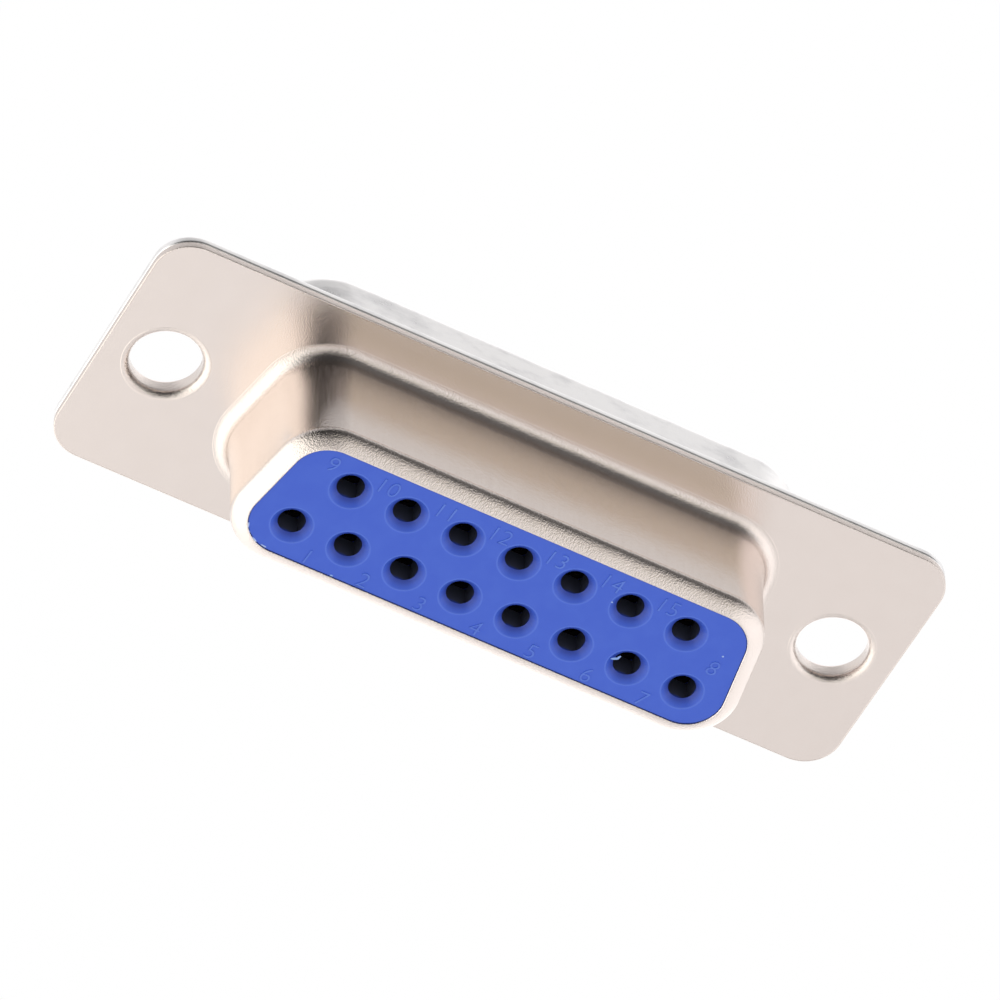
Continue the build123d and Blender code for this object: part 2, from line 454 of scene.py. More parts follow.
@dataclass(frozen=True)
class NickelPlate:
    """Bright nickel on drawn steel: a warm mirror, with orange peel where the sheet was bent.

    Sizes and heights are in millimetres.
    """

    tint: Triple = (0.715, 0.637, 0.597)
    worn_tint: Triple = (0.745, 0.668, 0.630)
    cloud_size: Triple = (1.3, 1.3, 1.3)        # patches of the worn tint
    roughness: float = 0.18        # of the flats; the drawn bends are burnished
    bend_roughness: float = 0.08
    edge_roughness: float = 0.36   # sheared edges are dull
    streak_size: Triple = (0.07, 2.2, 0.07)     # fine lines along the draw
    streak_change: Pair = (0.85, 1.25)          # which multiply the roughness by this
    peel_size: float = 0.07        # grain of the stretched plating on the bends
    peel_stretch: float = 1.6      # its length along the draw, against its width
    peel_height: float = 0.025
    stipple: float = 0.009         # height of the same grain on the flats
    ripple_size: float = 1.6       # slow waviness of the flats
    ripple_height: float = 0.004
    mark_size: Triple = (0.16, 3.0, 0.16)       # marks of the drawing die
    mark_height: float = 0.0006

    def polish(self, tree: NodeTree, worked: Socket, bend: Socket) -> Socket:
        """Work out the roughness: streaked flats, burnished bends, dull sheared edges.

        Args:
            tree: the material's tree.
            worked: the mesh's own bend value.
            bend: the same value, from 0 on a flat to 1 on a bend.

        Returns:
            The roughness.
        """
        streak = tree.grain(self.streak_size, detail=2)
        plain = tree.spread(bend, 0.0, 1.0, self.roughness, self.bend_roughness)
        streaked = tree.maths("MULTIPLY", plain, tree.spread(streak, *NOISE, *self.streak_change))
        sheared = tree.spread(worked, 1.0, SHEARED, 0.0, self.edge_roughness)
        return tree.maths("MAXIMUM", streaked, sheared)

    def relief(self, tree: NodeTree, bend: Socket) -> Socket:
        """Add up the peel of the plating, the slow ripple and the marks of the die.

        Args:
            tree: the material's tree.
            bend: from 0 on a flat to 1 on a bend.

        Returns:
            The height in millimetres.
        """
        peel_size = (self.peel_size, self.peel_size * self.peel_stretch, self.peel_size)
        peel = tree.grain(peel_size, detail=3, sharp=0.6)
        ripple = tree.grain((self.ripple_size,) * 3, detail=1)
        marks = tree.grain(self.mark_size, detail=2)
        height = tree.maths("MULTIPLY", peel, tree.spread(bend, 0.0, 1.0, self.stipple, self.peel_height))
        height = tree.maths("ADD", height, tree.maths("MULTIPLY", ripple, self.ripple_height))
        return tree.maths("ADD", height, tree.maths("MULTIPLY", marks, self.mark_height))

    def material(self) -> bpy.types.Material:
        """Build the node material.

        Returns:
            The material.
        """
        made, tree, shader = new_material("nickel_plate")
        cloud = tree.grain(self.cloud_size, detail=3)
        tree.join(tree.mix(cloud, self.tint, self.worn_tint), shader.inputs["Base Color"])
        shader.inputs["Metallic"].default_value = 1.0
        worked = tree.add("ShaderNodeAttribute", attribute_name="bend").outputs["Fac"]
        bend = tree.spread(worked, 0.0, 1.0, 0.0, 1.0)
        tree.join(self.polish(tree, worked, bend), shader.inputs["Roughness"])
        tree.bump(shader, self.relief(tree, bend), 1.0)
        return made


@dataclass(frozen=True)
class TinPlate:
    """Dull tin on the rear shell: pale grey with soft smudges; sizes are in millimetres."""

    tint: Triple = (0.955, 0.935, 0.93)
    smudge: Triple = (0.74, 0.725, 0.73)
    smudge_size: Triple = (2.0, 1.2, 1.0)
    smudge_range: Pair = (0.42, 0.75)           # noise at which a smudge begins and is full
    roughness: float = 0.34
    smudge_polish: float = 0.8     # roughness of a smudge against the tin's
    grain_size: Triple = (0.09, 0.09, 0.09)
    grain_height: float = 0.004

    def material(self) -> bpy.types.Material:
        """Build the node material.

        Returns:
            The material.
        """
        made, tree, shader = new_material("tin_plate")
        cloud = tree.spread(tree.grain(self.smudge_size, detail=4, sharp=0.6), *self.smudge_range, 0.0, 1.0)
        tree.join(tree.mix(cloud, self.tint, self.smudge), shader.inputs["Base Color"])
        shader.inputs["Metallic"].default_value = 1.0
        polish = tree.spread(cloud, 0.0, 1.0, self.roughness, self.roughness * self.smudge_polish)
        tree.join(polish, shader.inputs["Roughness"])
        tree.bump(shader, tree.grain(self.grain_size, detail=3, sharp=0.6), self.grain_height)
        return made


@dataclass(frozen=True)
class BluePlastic:
    """Glass-filled moulded plastic in signal blue, half gloss with a fine skin.

    Round each socket it carries a faint pale ring, a painted highlight of the mouth's edge, painted shade in
    the countersink and, inside the cavities, painted shade that is nearly black. Sizes are in millimetres.
    """

    colour: Triple = (0.039, 0.108, 0.615)
    pale: Triple = (0.047, 0.120, 0.63)
    # painted highlight: the pale ring round each socket's mouth
    ring: Triple = (0.085, 0.175, 0.70)
    # painted shade in the lower countersinks
    cone_shade: Triple = (0.026, 0.058, 0.37)
    # painted shade deep in the cavities
    cavity_shade: Triple = (0.055, 0.060, 0.090)
    cloud_size: Triple = (1.1, 1.1, 1.1)
    pale_range: Pair = (0.35, 0.7)              # noise at which the pale colour begins and is full
    roughness: float = 0.38
    roughness_change: Pair = (0.9, 1.15)        # the clouds multiply the roughness by this
    refraction: float = 1.5
    skin_size: Triple = (0.12, 0.12, 0.12)
    skin_height: float = 0.0025
    name: str = "blue_plastic"
    sockets: tuple[Pair, ...] = ()
    # radius, width and strength of the painted highlight ring
    highlight_ring_r: float = 0.96
    highlight_ring_w: float = 0.07
    highlight_strength: float = 0.8
    cone_r: Pair = (0.9, 1.0)                   # the painted shades end between these radii
    cone_shade_h: float = 0.26                        # the countersink's painted shade comes in over this depth
    cone_shade_strength: float = 0.85
    cavity_shade_from: float = 0.0                      # y at which the painted shade of a cavity begins
    cavity_shade_over: float = 0.25                     # and the depth in which it gets there

    def to_nearest_socket(self, tree: NodeTree) -> Socket:
        """Measure across the face to the nearest socket.

        Args:
            tree: the material's tree.

        Returns:
            The distance to the socket's axis, in metres.
        """
        across = tree.add("ShaderNodeVectorMath", operation="MULTIPLY")
        tree.join(tree.place(), across.inputs[0])
        across.inputs[1].default_value = (1.0, 0.0, 1.0)
        nearest: float | Socket = 1.0
        for x, z in self.sockets:
            away = tree.add("ShaderNodeVectorMath", operation="DISTANCE")
            tree.join(across.outputs["Vector"], away.inputs[0])
            away.inputs[1].default_value = (x * MM, 0.0, z * MM)
            nearest = tree.maths("MINIMUM", nearest, away.outputs["Value"])
        return nearest

    def colour_at_sockets(self, tree: NodeTree, plain: Socket) -> Socket:
        """Paint the highlight rings and the shade of the countersinks and cavities over the plain colour.

        Args:
            tree: the material's tree.
            plain: colour of the face.

        Returns:
            The colour of the face and of the cavities in it.
        """
        away, depth = self.to_nearest_socket(tree), tree.depth()
        # painted highlight: a pale ring round each socket's mouth
        near, edge, far = ((self.highlight_ring_r + k * self.highlight_ring_w) * MM for k in (-1, 0, 1))
        rise = tree.spread(away, near, edge, 0.0, 1.0)
        fall = tree.spread(away, edge, far, 1.0, 0.0)
        highlight_share = tree.maths("MULTIPLY", tree.maths("MULTIPLY", rise, fall), self.highlight_strength)
        inside = tree.spread(away, self.cone_r[0] * MM, self.cone_r[1] * MM, 1.0, 0.0)
        start = self.cavity_shade_from * MM
        # painted shade in the countersink, stronger with depth
        cone_shade_share = tree.spread(depth, start - self.cone_shade_h * MM, start, 0.0, self.cone_shade_strength)
        # painted shade that makes each cavity nearly black
        shade = tree.spread(depth, start, start + self.cavity_shade_over * MM, 0.0, 1.0)
        sunk = tree.mix(tree.maths("MULTIPLY", cone_shade_share, inside), tree.mix(highlight_share, plain, self.ring), self.cone_shade)
        return tree.mix(tree.maths("MULTIPLY", shade, inside), sunk, self.cavity_shade)

    def material(self) -> bpy.types.Material:
        """Build the node material.

        Returns:
            The material.
        """
        made, tree, shader = new_material(self.name)
        cloud = tree.grain(self.cloud_size, detail=4)
        colour = tree.mix(tree.spread(cloud, *self.pale_range, 0.0, 1.0), self.colour, self.pale)
        if self.sockets:
            colour = self.colour_at_sockets(tree, colour)
        tree.join(colour, shader.inputs["Base Color"])
        low, high = (self.roughness * change for change in self.roughness_change)
        tree.join(tree.spread(cloud, *NOISE, low, high), shader.inputs["Roughness"])
        shader.inputs["IOR"].default_value = self.refraction
        tree.bump(shader, tree.grain(self.skin_size, detail=3, sharp=0.6), self.skin_height)
        return made


@dataclass(frozen=True)
class GoldFlash:
    """Thin gold over copper alloy on the contacts, with painted shade at their mouths deep behind the face.

    Sizes are in millimetres.
    """

    tint: Triple = (0.92, 0.70, 0.34)
    dull: Triple = (0.80, 0.60, 0.33)
    # painted shade at the contacts' mouths
    mouth_shade: Triple = (0.035, 0.030, 0.032)
    cloud_size: Triple = (0.5, 1.2, 0.5)
    roughness: Pair = (0.28, 0.42)
    line_size: Triple = (0.05, 0.8, 0.05)       # fine lines of the rolled strip
    line_height: float = 0.003
    mouth_y: float = -4.04                      # front end of the contacts
    mouth_shade_over: Pair = (0.2, 3.0)                # from there, the painted shade fades between these depths

    def material(self) -> bpy.types.Material:
        """Build the node material.

        Returns:
            The material.
        """
        made, tree, shader = new_material("gold_flash")
        cloud = tree.grain(self.cloud_size, detail=3)
        start, end = ((self.mouth_y + depth) * MM for depth in self.mouth_shade_over)
        # painted shade, full at the mouth and gone further back
        shade = tree.spread(tree.depth(), start, end, 1.0, 0.0)
        gold = tree.mix(cloud, self.tint, self.dull)
        tree.join(tree.mix(shade, gold, self.mouth_shade), shader.inputs["Base Color"])
        shader.inputs["Metallic"].default_value = 1.0
        tree.join(tree.spread(cloud, *NOISE, *self.roughness), shader.inputs["Roughness"])
        tree.bump(shader, tree.grain(self.line_size, detail=2), self.line_height)
        return made


@dataclass(frozen=True)
class Finishes:
    """One material of each finish, shared by the pieces that wear it."""

    nickel: bpy.types.Material
    tin: bpy.types.Material
    blue: bpy.types.Material
    blue_face: bpy.types.Material
    blue_number: bpy.types.Material
    blue_flash: bpy.types.Material
    gold: bpy.types.Material

    @classmethod
    def make(cls, plan: "Plan") -> "Finishes":
        """Build all the finishes once.

        Args:
            plan: the shared sizes, for the places of the sockets and the face.

        Returns:
            The finishes.
        """
        sockets = tuple((x, z) for _, x, z in plan.sockets)
        # the face gets painted highlight rings and painted shade round its sockets
        face = BluePlastic(name="blue_plastic_face", sockets=sockets, cavity_shade_from=plan.face_y + plan.cavity_shade_depth)
        number = BluePlastic(name="blue_plastic_number", colour=(0.072, 0.160, 0.66), pale=(0.10, 0.20, 0.69))
        flash = BluePlastic(name="blue_plastic_flash", colour=(0.26, 0.42, 0.82), pale=(0.50, 0.60, 0.86))
        return cls(
            NickelPlate().material(), TinPlate().material(), BluePlastic().material(), face.material(),
            number.material(), flash.material(), GoldFlash().material(),
        )


@dataclass(frozen=True)
class Plan:
    """Sizes that the pieces share, in millimetres, read from the frame where it gives them."""

    half_w: float
    half_h: float
    nose_front: float
    face_y: float
    cup_back: float
    holes: tuple[Pair, ...]
    sockets: tuple[tuple[str, float, float], ...]
    sheet_t: float = 0.40
    lean_deg: float = 10.0
    flange_corner_r: float = 1.75
    hole_r: float = 1.60
    nose_mid_w: float = 24.42
    nose_h: float = 7.76
    nose_corner_r: float = 2.48
    cup_mid_w: float = 27.10
    cup_h: float = 10.50
    cup_corner_r: float = 3.10
    cavity_shade_depth: float = 0.30       # the cavities are painted dark as shade from this depth behind the face
    support: float = 0.03          # narrow flat ring beside each bend, which keeps the flats flat
    wall_support: float = 0.12     # the same on the walls of the nose and the cup

    @classmethod
    def from_frame(cls) -> "Plan":
        """Read the flange, nose, cup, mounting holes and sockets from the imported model.

        Returns:
            The plan.
        """
        low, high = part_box("front_shell")
        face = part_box("front_insulator")[0][1]
        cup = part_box("rear_shell")[1][1]
        mounts = {m["name"]: m for m in frame["record"]["mounts"]}
        places = {name: (m["pos_m"][0] / MM, m["pos_m"][2] / MM) for name, m in sorted(mounts.items())}
        holes = (places["panel_hole_left"], places["panel_hole_right"])
        sockets = tuple(
            (name.removeprefix("socket_").lstrip("0"), *place)
            for name, place in places.items() if name.startswith("socket_")
        )
        return cls(high[0] / MM, high[2] / MM, low[1] / MM, face / MM, cup / MM, holes, sockets)

    def flange(self) -> RoundedOutline:
        """Outline of both flange sheets."""
        return RoundedOutline.rectangle(2 * self.half_w, 2 * self.half_h, self.flange_corner_r)

    def nose(self) -> RoundedOutline:
        """Outside of the nose."""
        return RoundedOutline.d_shape(self.nose_mid_w, self.nose_h, self.nose_corner_r, self.lean_deg)

    def cup(self) -> RoundedOutline:
        """Outside of the cup."""
        return RoundedOutline.d_shape(self.cup_mid_w, self.cup_h, self.cup_corner_r, self.lean_deg)


def bend_rows(centre: Pair, radius: float, start_deg: float, end_deg: float, steps: int) -> np.ndarray:
    """Bend as rows of (offset, y): centre + radius * (cos, sin) of the angle."""
    angle = smooth_arc(start_deg, end_deg, steps)
    return np.stack([centre[0] + radius * np.cos(angle), centre[1] + radius * np.sin(angle)], axis=1)


def join_rows(*parts: tuple[np.ndarray, float]) -> tuple[np.ndarray, np.ndarray]:
    """String profile parts together.

    Args:
        parts: pairs of rows and the bend value that they carry.

    Returns:
        All rows, and one bend value a row.
    """
    rows = np.concatenate([part for part, _ in parts])
    bend = np.concatenate([np.full(len(part), value) for part, value in parts])
    return rows, bend


@dataclass(frozen=True)
class FlangeEdge:
    """Edge of a flange sheet: two small roundings with a flat between them."""

    front_r: float = 0.04
    back_r: float = 0.10
    steps: int = 7

    def add(self, draft: MeshDraft, plan: Plan, y_front: float, y_back: float) -> None:
        """Add the band round a sheet, from its flat front to its flat back.

        Args:
            draft: mesh that it goes into.
            plan: the shared sizes.
            y_front: plane of the sheet's front.
            y_back: plane of its back.
        """
        a, b, support = self.front_r, self.back_r, plan.support
        rows, bend = join_rows(
            (np.array([[-a - support, y_front]]), 0.0),
            (bend_rows((-a, y_front + a), a, -90, 0, self.steps), SHEARED),
            (bend_rows((-b, y_back - b), b, 0, 90, self.steps), SHEARED),
            (np.array([[-b - support, y_back]]), 0.0),
        )
        draft.grid(plan.flange().sweep(rows), bend)


@dataclass(frozen=True)
class FrontShell:
    """Flange, drawn nose with its inward lip and the rolled eyelets, one nickel-plated sheet."""

    plan: Plan
    root_r: float = 0.62
    flare: float = 0.15            # the nose still widens by this where it meets the root bend
    flare_depth: float = 2.4
    flare_power: int = 3           # and the widening dies away with this power of the depth
    wall_rows: int = 10
    lip_arcs: tuple[Pair, ...] = ((0.36, 44.0), (1.17, 57.0), (2.05, 70.0))
    lip_arc_rows: int = 9          # of each of these arcs, given by radius and the angle it ends at
    lip_edge_r: float = 0.05
    lip_inside: float = 1.2        # depth of the lip's inner corner, in thicknesses of the sheet
    entry_r: float = 0.36
    eyelet_t: float = 0.28
    eyelet_flare: float = 0.50
    eyelet_bend: float = 0.3       # bend value of the rolled end, which is burnished less
    edge: FlangeEdge = FlangeEdge()

    def nose_rows(self) -> tuple[np.ndarray, np.ndarray]:
        """Work out the section of the nose.

        Returns:
            Rows of (offset, y) from the flange's front round the lip to the flange's back, and one
            bend value a row. The wall's offset is flare * (1 - run) ** power, so it leaves the
            root bend without a kink.
        """
        t, s, r, e = self.plan.sheet_t, self.plan.support, self.root_r, self.lip_edge_r
        slope = math.atan(self.flare_power * self.flare / self.flare_depth)
        centre = self.flare + r * math.cos(slope)
        wall_start = r * (1 - math.sin(slope))
        run = np.linspace(0, 1, self.wall_rows)[1:]
        widening = self.flare * (1 - run) ** self.flare_power
        wall = np.stack([widening, -wall_start - run * self.flare_depth], axis=1)
        lip = self.lip_rows()
        foot, tip, turned = lip[0, 1], lip[-1], self.lip_arcs[-1][1]
        edge_centre = tip - e * np.array([math.cos(math.radians(turned)), -math.sin(math.radians(turned))])
        inside = np.array([
            [edge_centre[0] - e, edge_centre[1] + t],
            [-self.lip_inside * t, foot],
            [-t, foot + t],
        ])
        return join_rows(
            (np.array([[centre + s, 0.0]]), 0.0),
            (bend_rows((centre, -r), r, 90, 180 - math.degrees(slope), steps=18), 1.0),
            (wall, 0.0),
            (lip[:1] + np.array([[0.0, self.plan.wall_support]]), 0.0),
            (lip[:-1], 1.0),
            (bend_rows(tuple(edge_centre), e, -turned, -180, steps=5), 1.0),
            (inside, 0.0),
            (bend_rows((r, -r), r + t, 180, 90, steps=12), 0.0),
            (np.array([[r + s, t]]), 0.0),
        )

    def lip_rows(self) -> np.ndarray:
        """Work out the outside of the lip.

        The arcs follow each other without a kink. Each is its centre + radius * (cos, sin) of an
        angle that goes on from the arc before, tight where the lip leaves the wall and then ever
        flatter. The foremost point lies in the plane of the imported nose's front.

        Returns:
            Rows of (offset, y).
        """
        rows, place, angle = [np.zeros((1, 2))], np.zeros(2), 0.0
        for radius, end in self.lip_arcs:
            turn = np.radians(np.linspace(angle, end, self.lip_arc_rows))[1:]
            start = np.radians(angle)
            step = np.stack([np.cos(turn) - np.cos(start), np.sin(start) - np.sin(turn)], axis=1)
            rows.append(place + radius * step)
            place, angle = rows[-1][-1], end
        lip = np.concatenate(rows)
        lowest = lip[-1, 1] - self.lip_edge_r * (1 - math.sin(math.radians(angle)))
        return lip + np.array([0.0, self.plan.nose_front - lowest])

    def eyelet_rows(self) -> tuple[np.ndarray, np.ndarray]:
        """Work out the section of an eyelet: rounded mouth, bore, rolled-over end, collar.

        Returns:
            Rows of (radius, y), and one bend value a row.
        """
        t, r, s = self.plan.sheet_t, self.plan.hole_r, self.plan.support
        outer, back, tip = r + self.eyelet_t, 2 * t, r + self.eyelet_t + self.eyelet_flare
        tip_r = self.eyelet_t / 2
        return join_rows(
            (np.array([[r + self.entry_r + s, 0.0]]), 0.0),
            (bend_rows((r + self.entry_r, self.entry_r), self.entry_r, -90, -180, steps=10), 1.0),
            (bend_rows((outer, back), self.eyelet_t, 180, 90, steps=8), self.eyelet_bend),
            (bend_rows((tip - tip_r, back + tip_r), tip_r, 90, -90, steps=8), self.eyelet_bend),
            (np.array([[outer, back], [outer, t], [outer + s, t]]), 0.0),
        )

    def build(self, finish: bpy.types.Material) -> bpy.types.Object:
        """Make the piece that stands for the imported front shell.

        Args:
            finish: material of the sheet.

        Returns:
            The piece.
        """
        plan, draft = self.plan, MeshDraft()
        flange, nose, t, s = plan.flange(), plan.nose(), plan.sheet_t, plan.support
        self.edge.add(draft, plan, 0.0, t)
        section, section_bend = self.nose_rows()
        draft.grid(nose.sweep(section), section_bend)
        front = [flange.ring(-self.edge.front_r - s), nose.ring(section[0, 0])]
        back = [flange.ring(-self.edge.back_r - s), nose.ring(section[-1, 0])]
        rows, bend = self.eyelet_rows()
        for x, z in plan.holes:
            hole = RoundHole(x, z)
            draft.grid(hole.sweep(rows), bend)
            front.append(hole.ring(plan.hole_r + self.entry_r + s))
            back.append(hole.ring(plan.hole_r + self.eyelet_t + s))
        draft.fill(front, 0.0)
        draft.fill(back, t)
        piece = draft.piece("front_shell_plated")
        dress(piece, finish)
        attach(piece, BODY)
        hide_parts("front_shell")
        return piece


@dataclass(frozen=True)
class RearShell:
    """Rear flange sheet and drawn cup with its back opening, one tin-plated sheet."""

    plan: Plan
    root_r: float = 0.45
    bend_r: float = 0.70
    opening_inset: float = 1.45
    opening_edge_r: float = 0.06
    hole_r: float = 1.92
    edge: FlangeEdge = FlangeEdge(front_r=0.10, back_r=0.12)

    def cup_rows(self) -> np.ndarray:
        """Work out the section of the cup.

        Returns:
            Rows of (offset, y) from the flange's back round the opening to the flange's front.
        """
        t, s, back = self.plan.sheet_t, self.plan.support, self.plan.cup_back
        rear, inset, wall = 2 * t, self.opening_inset, self.plan.wall_support
        root, bend, rim = self.root_r, self.bend_r, self.opening_edge_r
        return np.concatenate([
            np.array([[root + s, rear]]),
            bend_rows((root, rear + root), root, -90, -180, steps=10),
            np.array([[0.0, rear + root + wall], [0.0, back - bend - wall]]),
            bend_rows((-bend, back - bend), bend, 0, 90, steps=14),
            bend_rows((-inset + rim, back - rim), rim, 90, 180, steps=4),
            np.array([[-inset, back - t]]),
            bend_rows((-bend, back - bend), bend - t, 90, 0, steps=6),
            bend_rows((root, rear + root), root + t, 180, 270, steps=8),
            np.array([[root + s, t]]),
        ])

    def build(self, finish: bpy.types.Material) -> bpy.types.Object:
        """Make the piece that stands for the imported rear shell.

        Args:
            finish: material of the sheet.

        Returns:
            The piece.
        """
        plan, draft = self.plan, MeshDraft()
        flange, cup, t, s = plan.flange(), plan.cup(), plan.sheet_t, plan.support
        self.edge.add(draft, plan, t, 2 * t)
        draft.grid(cup.sweep(self.cup_rows()))
        near, far = flange.ring(-self.edge.front_r - s), flange.ring(-self.edge.back_r - s)
        inner = cup.ring(self.root_r + s)
        holes = [RoundHole(x, z) for x, z in plan.holes]
        for hole in holes:
            draft.grid(hole.sweep(np.array([[self.hole_r, 2 * t], [self.hole_r, t]])))
        rings = [hole.ring(self.hole_r) for hole in holes]
        draft.fill([near, inner, *rings], t)
        draft.fill([far, inner, *rings], 2 * t)
        piece = draft.piece("rear_shell_plated")
        dress(piece, finish)
        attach(piece, BODY)
        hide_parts("rear_shell")
        return piece


class Row(Enum):
    """Place in the rows; the value is where a number stands from its socket, along X and Z."""

    WIDE = (1.40, -1.17)
    WIDE_LAST = (0.57, 1.75)       # the rounded corner leaves no room below the last one
    NARROW = (-1.32, 0.93)

    @classmethod
    def of(cls, x: float, z: float, last_x: float) -> "Row":
        """Tell a socket's place in the rows.

        Args:
            x: the socket's place along the row.
            z: its place across the rows.
            last_x: place of the wide row's last socket.

        Returns:
            The place in the rows.
        """
        if z > 0:
            return cls.NARROW
        return cls.WIDE_LAST if math.isclose(x, last_x) else cls.WIDE


@dataclass(frozen=True)
class PositionNumbers:
    """Small raised position numbers on the insulator's face, one beside each socket."""

    plan: Plan
    height: float = 0.80
    cap_share: float = 0.70        # height of a figure as a share of the lettering size
    thinner: float = -0.014        # taken off each side of a stroke, as a share of the size
    raised: float = 0.03
    sunk: float = 0.02
    lean: float = 0.06
    curve_steps: int = 4
    weld: float = 1e-4             # points closer than this become one

    def figure(self, text: str) -> tuple[np.ndarray, list[tuple[int, ...]]]:
        """Make the solid lettering of one number.

        Args:
            text: the number.

        Returns:
            Points in a box of unit size centred on the origin, x along the number, y up it and z
            out of it from -1 to 1, and the faces that index them.
        """
        curve = bpy.data.curves.new("number", "FONT")
        curve.body, curve.offset = text, self.thinner
        curve.size, curve.extrude, curve.resolution_u = 1.0, 1.0, self.curve_steps
        drawn = bpy.data.objects.new("number", curve)
        mesh = bpy.data.meshes.new_from_object(drawn)
        points = np.empty(len(mesh.vertices) * 3)
        mesh.vertices.foreach_get("co", points)
        points = points.reshape(-1, 3)
        faces = [tuple(p.vertices) for p in mesh.polygons]
        points[:, :2] -= (points[:, :2].min(axis=0) + points[:, :2].max(axis=0)) / 2
        bpy.data.objects.remove(drawn)
        bpy.data.curves.remove(curve)
        bpy.data.meshes.remove(mesh)
        return points, faces

    def build(self, finish: bpy.types.Material) -> bpy.types.Object:
        """Make all the numbers as one piece that stands on the face.

        Args:
            finish: material of the numbers.

        Returns:
            The piece.
        """
        size = self.height / self.cap_share
        last_x = max(x for _, x, _ in self.plan.sockets)
        points, faces, count = [], [], 0
        for number, x, z in self.plan.sockets:
            row = Row.of(x, z, last_x)
            drawn, drawn_faces = self.figure(number)
            across = x + row.value[0] + size * (drawn[:, 0] + self.lean * drawn[:, 1])
            depth = self.plan.face_y + np.where(drawn[:, 2] > 0, -self.raised, self.sunk)
            points.append(np.stack([across, depth, z + row.value[1] + size * drawn[:, 1]], axis=1))
            faces += [tuple(v + count for v in face) for face in drawn_faces]
            count += len(drawn)
        mesh = bpy.data.meshes.new("position_numbers")
        mesh.from_pydata((np.concatenate(points) * MM).tolist(), [], faces)
        shaped = bmesh.new()
        shaped.from_mesh(mesh)
        bmesh.ops.remove_doubles(shaped, verts=shaped.verts, dist=self.weld * MM)
        bmesh.ops.recalc_face_normals(shaped, faces=shaped.faces)
        shaped.to_mesh(mesh)
        shaped.free()
        piece = show(mesh)
        dress(piece, finish)
        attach(piece, BODY)
        return piece


@dataclass(frozen=True)
class Flake:
    """One thin chip of pale plastic left on the face, in millimetres."""

    x: float
    z: float
    length: float
    width: float
    turn_deg: float

    def grid(self, face_y: float, height: float) -> np.ndarray:
        """Work out the chip, a half-sunk ellipsoid.

        Args:
            face_y: plane of the face.
            height: how far the chip stands out of it.

        Returns:
            Grid of points: with a the rise and b the turn, length/2 * cos a * cos b along the chip,
            width/2 * cos a * sin b across it, and height * sin a out of the face.
        """
        turns = np.linspace(0, 2 * np.pi, num=12, endpoint=False)
        a, b = np.meshgrid(smooth_arc(-89, 89, steps=8), turns, indexing="ij")
        turn = math.radians(self.turn_deg)
        along, across = self.length / 2 * np.cos(a) * np.cos(b), self.width / 2 * np.cos(a) * np.sin(b)
        x = self.x + along * math.cos(turn) - across * math.sin(turn)
        z = self.z + along * math.sin(turn) + across * math.cos(turn)
        return np.stack([x, face_y - height * np.sin(a), z], axis=-1)


@dataclass(frozen=True)
class MouldFlash:
    """Chips and slivers of flash that the photograph shows on the insulator's face."""

    plan: Plan
    height: float = 0.035
    flakes: tuple[Flake, ...] = (
        Flake(6.22, -1.22, 0.40, 0.12, 30.0),
        Flake(6.34, -1.06, 0.20, 0.09, 60.0),
        Flake(4.61, 1.44, 0.10, 0.07, 0.0),
        Flake(10.33, 1.10, 0.11, 0.09, 0.0),
        Flake(-6.89, -3.02, 0.16, 0.08, 0.0),
        Flake(-11.36, -2.30, 0.34, 0.08, -70.0),
        Flake(-11.16, -2.62, 0.30, 0.10, -50.0),
        Flake(-10.78, -2.86, 0.34, 0.10, -25.0),
        Flake(-10.25, -2.98, 0.30, 0.07, -8.0),
    )

    def build(self, finish: bpy.types.Material) -> bpy.types.Object:
        """Make all the chips as one piece on the face.

        Args:
            finish: material of the chips.

        Returns:
            The piece.
        """
        draft = MeshDraft()
        for flake in self.flakes:
            grid = flake.grid(self.plan.face_y, self.height)
            ends = grid[[0, -1]].mean(axis=1, keepdims=True)
            rows = np.broadcast_to(ends, (2, grid.shape[1], 3))
            draft.grid(np.concatenate([rows[:1], grid, rows[1:]]))
        piece = draft.piece("mould_flash")
        dress(piece, finish)
        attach(piece, BODY)
        return piece


@dataclass(frozen=True)
class Panel:
    """Soft-edged round area of the surroundings, bright like a lamp's diffuser or dark like an opening.

    Azimuth 0 is where the mating side faces, and it grows to the right. Elevation grows upward. The
    panel is full up to the inner angle from its middle and gone at the outer one.
    """

    azimuth_deg: float
    elevation_deg: float
    inner_deg: float
    outer_deg: float
    level: float
    tint: Triple = (1.0, 1.0, 1.0)

    def direction(self) -> Vector:
        """Point at the panel.

        Returns:
            Unit vector from the object to the panel's middle.
        """
        azimuth, elevation = math.radians(self.azimuth_deg), math.radians(self.elevation_deg)
        flat = math.cos(elevation)
        return Vector((math.sin(azimuth) * flat, -math.cos(azimuth) * flat, math.sin(elevation)))

    def lay_over(self, tree: NodeTree, direction: Socket, under: Triple | Socket) -> Socket:
        """Lay this panel over a colour of the surroundings.

        Args:
            tree: tree of the world or of the floor's material.
            direction: unit direction in which the surroundings are seen.
            under: their colour without this panel.

        Returns:
            Their colour with it.
        """
        facing = tree.add("ShaderNodeVectorMath", operation="DOT_PRODUCT")
        tree.join(direction, facing.inputs[0])
        facing.inputs[1].default_value = self.direction()
        outer, inner = math.cos(math.radians(self.outer_deg)), math.cos(math.radians(self.inner_deg))
        share = tree.spread(facing.outputs["Value"], outer, inner, 0.0, 1.0)
        return tree.mix(share, under, tuple(self.level * part for part in self.tint))


